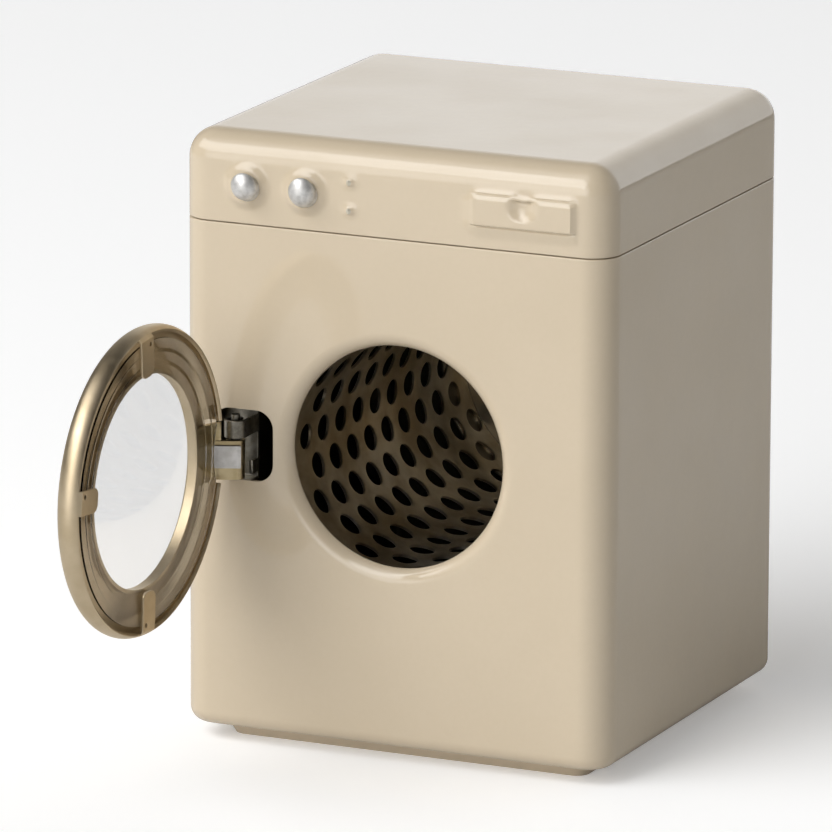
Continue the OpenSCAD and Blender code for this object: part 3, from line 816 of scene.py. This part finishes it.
# the punched pattern: rows of holes along the drum, every other row set back by half a pitch
ROWS = 22
ROW_HOLES = 10
HOLE_R = 1.725 * MM
HOLE_SIDES = 32
PITCH = 5.36 * MM
FIRST_HOLE = 3.3 * MM
ROW_ARC = 2 * pi * DRUM_R / ROWS
PATTERN_TURN = radians(17.6)
# a hole's edge is drawn in a little: how deep it lies, and how far out and up the sheet rises
HOLE_DEPTH = 0.03 * MM
HOLE_LIP = ((0.1 * MM, 0.02 * MM), (0.3 * MM, 0.01 * MM))
# the plate that closes the drum: its rim, its bend and the dish in its middle
BACK_RIM_DEPTH = 5.8 * MM
BACK_EDGE_IN = 0.2 * MM
BACK_BEND = 0.5 * MM
BACK_T = 0.4 * MM
DISH_R = 10 * MM
DISH_DEPTH = 5 * MM
DISH_HOLE_R = 1.05 * MM


def hole_cell():
    """One cell of the flat sheet with its hole, the hole's edge drawn in a little."""
    bpy.ops.mesh.primitive_circle_add(vertices=HOLE_SIDES, radius=HOLE_R, location=(0, 0, 0))
    cell = start("drum_hole_cell")
    shift(0, 0, -HOLE_DEPTH)
    radius = HOLE_R
    for beside, rise in HOLE_LIP:
        extrude(z=rise)
        stretch((HOLE_R + beside) / radius, (HOLE_R + beside) / radius, 1)
        radius = HOLE_R + beside
    extrude()
    done()
    # the last ring is spread to the edge of the cell: an eighth of it to each half side
    eighth, quarter = HOLE_SIDES // 8, HOLE_SIDES // 4
    for vertex in list(cell.data.vertices)[-HOLE_SIDES:]:
        step = round(atan2(vertex.co.y, vertex.co.x) / pi * HOLE_SIDES / 2)
        share = ((step + eighth) % quarter) / eighth - 1
        side = ((step + eighth) // quarter) % 4
        across, along = ((1, share), (-share, 1), (-1, -share), (share, -1))[side]
        vertex.co = Vector((across * ROW_ARC / 2, along * PITCH / 2, 0))
    return cell


def make_drum():
    cells = []
    master = hole_cell()
    for row in range(ROWS):
        odd = row % 2
        for k in range(ROW_HOLES - odd):
            cell = copy_of(master, "drum_cell")
            along = FIRST_HOLE + (k + odd / 2) * PITCH
            cell.data.transform(Matrix.Translation(((row + 0.5) * ROW_ARC, along, 0)))
            cells.append(cell)
        if odd:
            # half a plain cell fills each end of a row that is set back
            bpy.ops.mesh.primitive_grid_add(x_subdivisions=8, y_subdivisions=4, size=1)
            plain = start("drum_plain_cell")
            stretch(ROW_ARC, PITCH / 2, 1)
            shift((row + 0.5) * ROW_ARC, FIRST_HOLE - PITCH / 4, 0)
            done()
            cells.append(plain)
            tail = copy_of(plain, "drum_plain_tail")
            tail.data.transform(Matrix.Translation((0, (ROW_HOLES - 0.5) * PITCH, 0)))
            cells.append(tail)
    bpy.data.objects.remove(master)
    drum = join(cells, "drum_tin_sheet")
    work_on(drum)
    select_everything()
    bpy.ops.mesh.remove_doubles(threshold=2 * SLACK)
    bpy.ops.mesh.bisect(plane_co=(0, DRUM_LONG, 0), plane_no=(0, 1, 0), clear_outer=True)
    pick("EDGE", lambda edge, at: edge.is_boundary and near(at.y, FIRST_HOLE - PITCH / 2))
    extrude(y=-(FIRST_HOLE - PITCH / 2))
    face_outwards()
    done()
    # the flat sheet is rolled into the drum, its middle row at the pattern's turn
    for vertex in drum.data.vertices:
        x, y, z = vertex.co
        turn = (x / ROW_ARC - 0.5) * 2 * pi / ROWS + PATTERN_TURN
        radius = DRUM_R + DRUM_T / 2 - z
        vertex.co = Vector((PORT.x + radius * cos(turn), DRUM_FRONT + y,
                            PORT.z - radius * sin(turn)))
    thicken(drum, DRUM_T, 0)
    smooth(drum, 40)
    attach(drum, "drum")
    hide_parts("drum_shell")
    return drum


def make_drum_back():
    """The dished plate that closes the drum, its rim over the drum's end."""
    node_low, node_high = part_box("drum_back")
    rim_r = (node_high.x - node_low.x) / 2 - BACK_EDGE_IN
    level = node_high.y - FRONT - SHEET / 2
    bottom = level - DISH_DEPTH
    dish_r = DISH_R - SHEET / 2
    outline = [(rim_r, level - BACK_RIM_DEPTH - SHEET / 2 + 2 * SLACK)]
    outline += [(rim_r, level - SHEET / 2 - BACK_BEND)]
    outline += arc((rim_r - BACK_BEND, level - BACK_BEND), BACK_BEND, 0, 90, 4)
    outline += [(DISH_R + 0.6 * MM, level), (DISH_R - 0.05 * MM, level - 0.35 * MM),
                (dish_r, level - 0.9 * MM), (dish_r, bottom + 1 * MM),
                (DISH_R - 0.55 * MM, bottom + 0.35 * MM), (DISH_R - 1.2 * MM, bottom),
                (DISH_HOLE_R, bottom)]
    back = lathe("drum_dished_back", outline, 128)
    thicken(back, BACK_T, 0)
    soften(back, 0.08 * MM, 60, 35)
    place(back, Matrix.Translation(PORT) @ Matrix.Rotation(radians(-90), 4, "X"))
    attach(back, "drum")
    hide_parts("drum_back")
    return back


# ---- material helpers
def new_group(name, inputs, outputs):
    """An empty shader group with its named inputs and outputs."""
    tree = bpy.data.node_groups.new(name, "ShaderNodeTree")
    for label, kind, value in inputs:
        socket = tree.interface.new_socket(name=label, in_out="INPUT", socket_type=kind)
        socket.default_value = value
    for label, kind in outputs:
        tree.interface.new_socket(name=label, in_out="OUTPUT", socket_type=kind)
    given, out = tree.nodes.new("NodeGroupInput"), tree.nodes.new("NodeGroupOutput")
    return tree, given.outputs, out.inputs


def add(tree, kind, values=None, **settings):
    """A new node with its settings, and values on its inputs."""
    node = tree.nodes.new(kind)
    for key, value in settings.items():
        setattr(node, key, value)
    for key, value in (values or {}).items():
        node.inputs[key].default_value = value
    return node


def connect(tree, value, socket):
    """Links an output to a socket, or sets a plain number there."""
    if isinstance(value, (int, float)):
        socket.default_value = value
    else:
        tree.links.new(value, socket)


def math_node(tree, operation, first, second):
    node = add(tree, "ShaderNodeMath", operation=operation)
    connect(tree, first, node.inputs[0])
    connect(tree, second, node.inputs[1])
    return node.outputs[0]


def spread(tree, value, low, high):
    """A soft ramp of a value from 0 at low to 1 at high."""
    node = add(tree, "ShaderNodeMapRange", interpolation_type="SMOOTHSTEP")
    connect(tree, low, node.inputs["From Min"])
    connect(tree, high, node.inputs["From Max"])
    tree.links.new(value, node.inputs["Value"])
    return node.outputs["Result"]


def blend_colours(tree, mask, first, second):
    """The first colour where the mask is 0, the second where it is 1."""
    node = add(tree, "ShaderNodeMix", data_type="RGBA")
    tree.links.new(mask, node.inputs["Factor"])
    colours = [socket for socket in node.inputs if socket.type == "RGBA"]
    for socket, value in zip(colours, (first, second)):
        if isinstance(value, tuple):
            socket.default_value = (*value, 1)
        else:
            tree.links.new(value, socket)
    return next(socket for socket in node.outputs if socket.type == "RGBA")


def noise(tree, place_socket, scale, detail, roughness):
    node = add(tree, "ShaderNodeTexNoise", {"Detail": detail, "Roughness": roughness})
    tree.links.new(place_socket, node.inputs["Vector"])
    tree.links.new(scale, node.inputs["Scale"])
    return node.outputs["Fac"]


FLOAT = "NodeSocketFloat"
VECTOR = "NodeSocketVector"
PLACE = ("Place", VECTOR, (0, 0, 0))


def make_mottle_group():
    """Mottled value: soft noise at a scale, with its contrast set by two bounds."""
    tree, given, out = new_group(
        "soft_mottle",
        [PLACE, ("Scale", FLOAT, 100.0), ("Low", FLOAT, 0.35), ("High", FLOAT, 0.65)],
        [("Mask", FLOAT)],
    )
    cloud = noise(tree, given["Place"], given["Scale"], 4.0, 0.55)
    tree.links.new(spread(tree, cloud, given["Low"], given["High"]), out["Mask"])
    return tree


def make_wear_group():
    """Mask of edges where the finish has rubbed thin, broken up by noise."""
    tree, given, out = new_group(
        "edge_wear",
        [PLACE, ("Scale", FLOAT, 900.0), ("Start", FLOAT, 0.53), ("Full", FLOAT, 0.6)],
        [("Mask", FLOAT)],
    )
    sharp = add(tree, "ShaderNodeNewGeometry").outputs["Pointiness"]
    edges = spread(tree, sharp, given["Start"], given["Full"])
    cloud = noise(tree, given["Place"], given["Scale"], 3.0, 0.6)
    broken = spread(tree, cloud, 0.38, 0.6)
    tree.links.new(math_node(tree, "MULTIPLY", edges, broken), out["Mask"])
    return tree


def make_rubbed_group():
    """Height of fine rubbed lines that run along one direction of the piece."""
    tree, given, out = new_group(
        "rubbed_lines",
        [PLACE, ("Scale", FLOAT, 400.0), ("Stretch", VECTOR, (1, 1, 12))],
        [("Height", FLOAT)],
    )
    squeeze = add(tree, "ShaderNodeVectorMath", operation="MULTIPLY")
    tree.links.new(given["Place"], squeeze.inputs[0])
    tree.links.new(given["Stretch"], squeeze.inputs[1])
    lines = noise(tree, squeeze.outputs[0], given["Scale"], 5.0, 0.65)
    tree.links.new(lines, out["Height"])
    return tree


soft_mottle = make_mottle_group()
edge_wear = make_wear_group()
rubbed_lines = make_rubbed_group()


def use(tree, group, place_socket, **values):
    """Places a group in a material with its own values."""
    node = add(tree, "ShaderNodeGroup", values, node_tree=group)
    tree.links.new(place_socket, node.inputs["Place"])
    return node.outputs[0]


def mottle(tree, here, scale, low=0.3, high=0.7):
    return use(tree, soft_mottle, here, Scale=scale, Low=low, High=high)


def new_material(name, **values):
    """A material with its shader's constant values set; returns its parts."""
    material = bpy.data.materials.new(name)
    material.use_nodes = True
    tree = material.node_tree
    shader = next(node for node in tree.nodes if node.type == "BSDF_PRINCIPLED")
    for key, value in values.items():
        shader.inputs[key.replace("_", " ")].default_value = value
    here = add(tree, "ShaderNodeTexCoord").outputs["Object"]
    return material, tree, shader, here


def bumped(tree, shader, height, strength, distance, normal=None):
    """Raises a bump on the shader, over another one where normal is given."""
    bump = add(tree, "ShaderNodeBump", {"Strength": strength, "Distance": distance})
    tree.links.new(height, bump.inputs["Height"])
    if normal is not None:
        tree.links.new(normal, bump.inputs["Normal"])
    tree.links.new(bump.outputs["Normal"], shader.inputs["Normal"])
    return bump.outputs["Normal"]


def rough_between(tree, shader, mask, low, high):
    """Roughness that varies with a mask."""
    node = add(tree, "ShaderNodeMapRange", {"To Min": low, "To Max": high})
    tree.links.new(mask, node.inputs["Value"])
    tree.links.new(node.outputs["Result"], shader.inputs["Roughness"])


CREAM = ((0.560, 0.468, 0.342), (0.580, 0.486, 0.358))
CREAM_SPECK = (0.53, 0.44, 0.315)
# the lighter tone of the pips' tips
PIP_TIP_TONE = (0.66, 0.61, 0.50)
# a dark painted shade for what lies inside the body
PAINTED_SHADE_INSIDE = (0.06, 0.05, 0.035)
PLINTH_CREAM = ((0.575, 0.478, 0.350), (0.60, 0.50, 0.37))
CLEAR = ((0.920, 0.920, 0.918), (0.935, 0.935, 0.933))
UP = (1, 1, 6)
ALONG = (1, 6, 1)
# each metal: dark and bright tone, least and most rough, cloud scale, bump, and for some edge
# wear, how far the rubbed lines are drawn out along each axis, and how metallic it is
METALS = {
    "knob_steel": (
        (0.60, 0.59, 0.57), (0.78, 0.77, 0.75), 0.44, 0.50, 1500.0, 0.3, 0, (1, 1, 1), 0.8),
    "hinge_steel": ((0.17, 0.155, 0.125), (0.36, 0.34, 0.29), 0.30, 0.45, 500.0, 0.3, 0.6, UP),
    "plate_steel": ((0.55, 0.53, 0.50), (0.66, 0.64, 0.62), 0.35, 0.5, 500.0, 0.3, 0.6, UP),
    "satin_brass": ((0.55, 0.445, 0.295), (0.63, 0.52, 0.36), 0.40, 0.46, 250.0, 0.1),
    "leaf_brass": ((0.42, 0.33, 0.18), (0.56, 0.46, 0.28), 0.3, 0.42, 400.0, 0.3, 0.6),
    "bush_brass": ((0.50, 0.38, 0.18), (0.62, 0.48, 0.25), 0.29, 0.4, 500.0, 0.2, 0.3),
    "drum_tin": ((0.56, 0.47, 0.325), (0.97, 0.90, 0.77), 0.30, 0.38, 120.0, 0.05, 0, ALONG),
    # a darker copy of the drum's tin: painted shade on the drum's back plate
    "drum_back_painted_shade_tin": ((0.16, 0.135, 0.095), (0.27, 0.23, 0.17), 0.32, 0.42, 160.0, 0.1),
    # near black: painted shade on the faces inside the body
    "inside_painted_shade_tin": ((0.06, 0.05, 0.035), (0.11, 0.09, 0.065), 0.45, 0.6, 160.0, 0.2),
}
# the lighter tip of a pip: how far it stands out, its radius and its soft edge
PIP_TIP_OUT = 0.62 * MM
PIP_TIP_R = 0.36 * MM
PIP_TIP_SOFT = 0.12 * MM


def pip_tips(tree, here):
    """Mask of the tips of the two pips, which are lighter and partly metallic."""
    tips = []
    for sign in (-1, 1):
        tip = (PIP_X, FRONT - PIP_TIP_OUT, KNOB_Z + sign * PIP_HALF_GAP)
        node = add(tree, "ShaderNodeVectorMath", {1: tip}, operation="DISTANCE")
        tree.links.new(here, node.inputs[0])
        tips.append(spread(tree, node.outputs["Value"], PIP_TIP_R + PIP_TIP_SOFT, PIP_TIP_R))
    return math_node(tree, "MAXIMUM", *tips)


def make_enamel(name, shade_plane_y=None):
    """Cream enamel; with a plane given, what lies in front of it is darkened: painted shade on
    the inside.
    """
    material, tree, shader, here = new_material(name, IOR=1.5, Coat_Roughness=0.06, Coat_IOR=1.5)
    clouds = mottle(tree, here, 45.0)
    colour = blend_colours(tree, clouds, *CREAM)
    specks = mottle(tree, here, 1500.0)
    colour = blend_colours(tree, math_node(tree, "MULTIPLY", specks, 0.15), colour, CREAM_SPECK)
    # the tips of the pips are lighter and partly metallic
    pip_tip_mask = pip_tips(tree, here)
    colour = blend_colours(tree, pip_tip_mask, colour, PIP_TIP_TONE)
    # the inside of the back panel is darkened: painted shade
    if shade_plane_y is not None:
        parts = add(tree, "ShaderNodeSeparateXYZ")
        tree.links.new(here, parts.inputs[0])
        outer_side = spread(tree, parts.outputs["Y"], shade_plane_y - 5 * SLACK, shade_plane_y)
        colour = blend_colours(tree, outer_side, PAINTED_SHADE_INSIDE, colour)
    tree.links.new(colour, shader.inputs["Base Color"])
    tree.links.new(math_node(tree, "MULTIPLY", pip_tip_mask, 0.3), shader.inputs["Metallic"])
    marks = mottle(tree, here, 140.0, 0.35, 0.75)
    rough_between(tree, shader, marks, 0.05, 0.08)
    film = mottle(tree, here, 60.0, 0.2, 0.8)
    tree.links.new(math_node(tree, "MULTIPLY", film, 0.3), shader.inputs["Coat Weight"])
    waves = mottle(tree, here, 38.0, 0.0, 1.0)
    wavy = bumped(tree, shader, waves, 0.5, 0.25 * MM)
    peel = mottle(tree, here, 900.0, 0.0, 1.0)
    bumped(tree, shader, peel, 0.04, 0.03 * MM, wavy)
    return material


def make_plinth_paint():
    material, tree, shader, here = new_material("plinth_enamel", IOR=1.5, Coat_Weight=0.3)
    clouds = mottle(tree, here, 60.0)
    colour = blend_colours(tree, clouds, *PLINTH_CREAM)
    tree.links.new(colour, shader.inputs["Base Color"])
    rough_between(tree, shader, clouds, 0.29, 0.38)
    peel = mottle(tree, here, 800.0, 0.0, 1.0)
    bumped(tree, shader, peel, 0.15, 0.05 * MM)
    return material


def make_metal(name, dark, bright, smooth_to, rough_to, scale, bump, wear=0, lines=(1, 1, 1),
               metallic=1):
    """Bare metal: two tones that cloud into each other, rubbed lines and brighter edges."""
    material, tree, shader, here = new_material(name, Metallic=metallic)
    clouds = mottle(tree, here, scale)
    colour = blend_colours(tree, clouds, dark, bright)
    if wear:
        worn = use(tree, edge_wear, here, Scale=1200.0, Start=0.52, Full=0.6)
        bare = tuple(min(1, 1.25 * part + 0.05) for part in bright)
        colour = blend_colours(tree, math_node(tree, "MULTIPLY", worn, wear), colour, bare)
    tree.links.new(colour, shader.inputs["Base Color"])
    marks = mottle(tree, here, scale * 3.1)
    rough_between(tree, shader, marks, smooth_to, rough_to)
    drawn = use(tree, rubbed_lines, here, Scale=700.0, Stretch=lines)
    bumped(tree, shader, drawn, bump, 0.05 * MM)
    return material


def make_clear():
    material, tree, shader, here = new_material(
        "clear_window_plastic", Transmission_Weight=1.0, IOR=1.49, Metallic=0.0)
    haze = mottle(tree, here, 120.0, 0.35, 0.75)
    tree.links.new(blend_colours(tree, haze, *CLEAR), shader.inputs["Base Color"])
    rough_between(tree, shader, haze, 0.02, 0.05)
    waves = mottle(tree, here, 260.0, 0.0, 1.0)
    bumped(tree, shader, waves, 0.005, 0.05 * MM)
    return material


def dress(piece, *materials):
    """Gives a piece its materials, slot by slot."""
    slots = piece.data.materials
    while len(slots) > len(materials):
        slots.pop()
    while len(slots) < len(materials):
        slots.append(None)
    for i, material in enumerate(materials):
        slots[i] = material


# ---- camera, light and floor
CAMERA_YAW = radians(24.35)
CAMERA_PITCH = radians(13.82)
CAMERA_ROLL = radians(0.2)
CAMERA_DISTANCE = 1226.07 * MM
CAMERA_TARGET = Vector((-10.11, 1.0, 38.44)) * MM
LENS_MM = 404.74
SENSOR_MM = 36
# the air's glows: azimuth, height, half width in degrees, strength, share that gloss sees
STUDIO_GLOWS = (
    (258, 12, 28, 4.75, 0.6), (240, 52, 28, 2.3, 0.7), (90, 8, 50, 1.33, 1), (40, 8, 50, 0.75, 1),
)
SOFTBOX_AT = Vector((-0.513, -0.550, 0.659))
SOFTBOX_AIM = Vector((0, 0, 0.05))
SOFTBOX_SIZE = (1.25, 0.46)
SOFTBOX_WATTS = 5.7
# the floor as light finds it and as the camera sees it, and the white that lifts it there
FLOOR_SIZE = 4
FLOOR_LIT = (0.88, 0.88, 0.88)
FLOOR_SEEN = (0.95, 0.95, 0.95)
FLOOR_LIFT = 0.25
WHITE = (1, 1, 1, 1)


def put_in_scene(thing, matrix):
    bpy.context.scene.collection.objects.link(thing)
    thing.matrix_world = matrix


def towards(azimuth, height):
    """The direction at an azimuth from +X and a height, in radians."""
    return Vector((cos(azimuth) * cos(height), sin(azimuth) * cos(height), sin(height)))


def looked_at(tree):
    """1 on what the camera sees, also through the window, and 0 on what lights the toy."""
    ray = add(tree, "ShaderNodeLightPath")
    return math_node(
        tree, "MAXIMUM", ray.outputs["Is Camera Ray"], ray.outputs["Is Transmission Ray"])


def make_camera():
    data = bpy.data.cameras.new("view_camera")
    data.lens = LENS_MM
    data.sensor_width = SENSOR_MM
    camera = bpy.data.objects.new("view_camera", data)
    put_in_scene(camera, Matrix.Translation(CAMERA_TARGET) @ Matrix.Rotation(CAMERA_YAW, 4, "Z")
                 @ Matrix.Rotation(pi / 2 - CAMERA_PITCH, 4, "X")
                 @ Matrix.Translation((0, 0, CAMERA_DISTANCE))
                 @ Matrix.Rotation(CAMERA_ROLL, 4, "Z"))
    bpy.context.scene.camera = camera


def make_softbox():
    data = bpy.data.lights.new("key_softbox", "AREA")
    data.shape = "RECTANGLE"
    data.size, data.size_y = SOFTBOX_SIZE
    data.energy = SOFTBOX_WATTS
    softbox = bpy.data.objects.new("key_softbox", data)
    facing = (SOFTBOX_AIM - SOFTBOX_AT).to_track_quat("-Z", "Y").to_matrix().to_4x4()
    put_in_scene(softbox, Matrix.Translation(SOFTBOX_AT) @ facing)


def make_air():
    """White to the eye, and soft glows round the toy for what lights it."""
    world = bpy.data.worlds.new("studio_air")
    bpy.context.scene.world = world
    world.use_nodes = True
    tree = world.node_tree
    way = add(tree, "ShaderNodeTexCoord").outputs["Generated"]
    shiny = add(tree, "ShaderNodeLightPath").outputs["Is Glossy Ray"]
    glow = 0
    for azimuth, height, reach, strength, shine in STUDIO_GLOWS:
        middle_way = towards(radians(azimuth), radians(height))
        dot = add(tree, "ShaderNodeVectorMath", {1: middle_way}, operation="DOT_PRODUCT")
        tree.links.new(way, dot.inputs[0])
        cap = spread(tree, dot.outputs["Value"], cos(radians(reach)), 1.0)
        dimmed = math_node(tree, "MULTIPLY", shiny, strength * (shine - 1))
        lobe = math_node(tree, "MULTIPLY", cap, math_node(tree, "ADD", dimmed, strength))
        glow = math_node(tree, "ADD", lobe, glow)
    light = tree.nodes["Background"]
    light.inputs["Color"].default_value = WHITE
    tree.links.new(glow, light.inputs["Strength"])
    white = add(tree, "ShaderNodeBackground", {"Color": WHITE, "Strength": 1.0})
    mix = add(tree, "ShaderNodeMixShader")
    for source, socket in zip((looked_at(tree), light.outputs[0], white.outputs[0]), mix.inputs):
        tree.links.new(source, socket)
    tree.links.new(mix.outputs[0], tree.nodes["World Output"].inputs["Surface"])


def make_floor():
    bpy.ops.mesh.primitive_plane_add(size=FLOOR_SIZE)
    floor = start("studio_floor")
    done()
    paint, tree, shader, _ = new_material(
        "floor_paint", Roughness=0.9, Specular_IOR_Level=0.1, Emission_Color=WHITE)
    seen = looked_at(tree)
    lift = math_node(tree, "MULTIPLY", seen, FLOOR_LIFT)
    tree.links.new(lift, shader.inputs["Emission Strength"])
    tree.links.new(blend_colours(tree, seen, FLOOR_LIT, FLOOR_SEEN), shader.inputs["Base Color"])
    dress(floor, paint)


# ---- the whole toy
bpy.context.scene.view_settings.view_transform = "Standard"
make_camera()
make_air()
make_softbox()
make_floor()

enamel = make_enamel("cream_enamel_on_tin")
# the back panel's enamel, darkened inside as painted shade
panel_enamel = make_enamel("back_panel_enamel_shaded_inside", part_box("back_panel")[1].y - 0.25 * MM)
metal = {name: make_metal(name, *values) for name, values in METALS.items()}

# the body's inner faces get a dark painted shade
dress(make_body_shell(), enamel, metal["inside_painted_shade_tin"])
dress(make_lid(), enamel)
dress(make_knob("left"), metal["knob_steel"])
dress(make_knob("right"), metal["knob_steel"])
dress(make_door_ring(), metal["satin_brass"])
dress(make_window(), make_clear())
dress(make_hinge_leaf(), metal["leaf_brass"])
dress(make_hinge_plate(), metal["plate_steel"])
dress(make_hinge_bracket(), metal["hinge_steel"])
dress(make_drum(), metal["drum_tin"])
# the drum's back plate carries the darker tin, a painted shade
dress(make_drum_back(), metal["drum_back_painted_shade_tin"])

# the frame's own pieces that are seen as they are
dress(frame["nodes"]["back_panel"], panel_enamel)
dress(frame["nodes"]["base_tray"], make_plinth_paint())
for finish, nodes in (
    ("hinge_steel", ("hinge_pin", "bearing_bracket", "knob_left_washer", "knob_right_washer")),
    ("knob_steel", ("drum_axle", "axle_washer", "axle_retainer")),
    ("bush_brass", ("axle_bush",)),
):
    for node in nodes:
        dress(frame["nodes"][node], metal[finish])
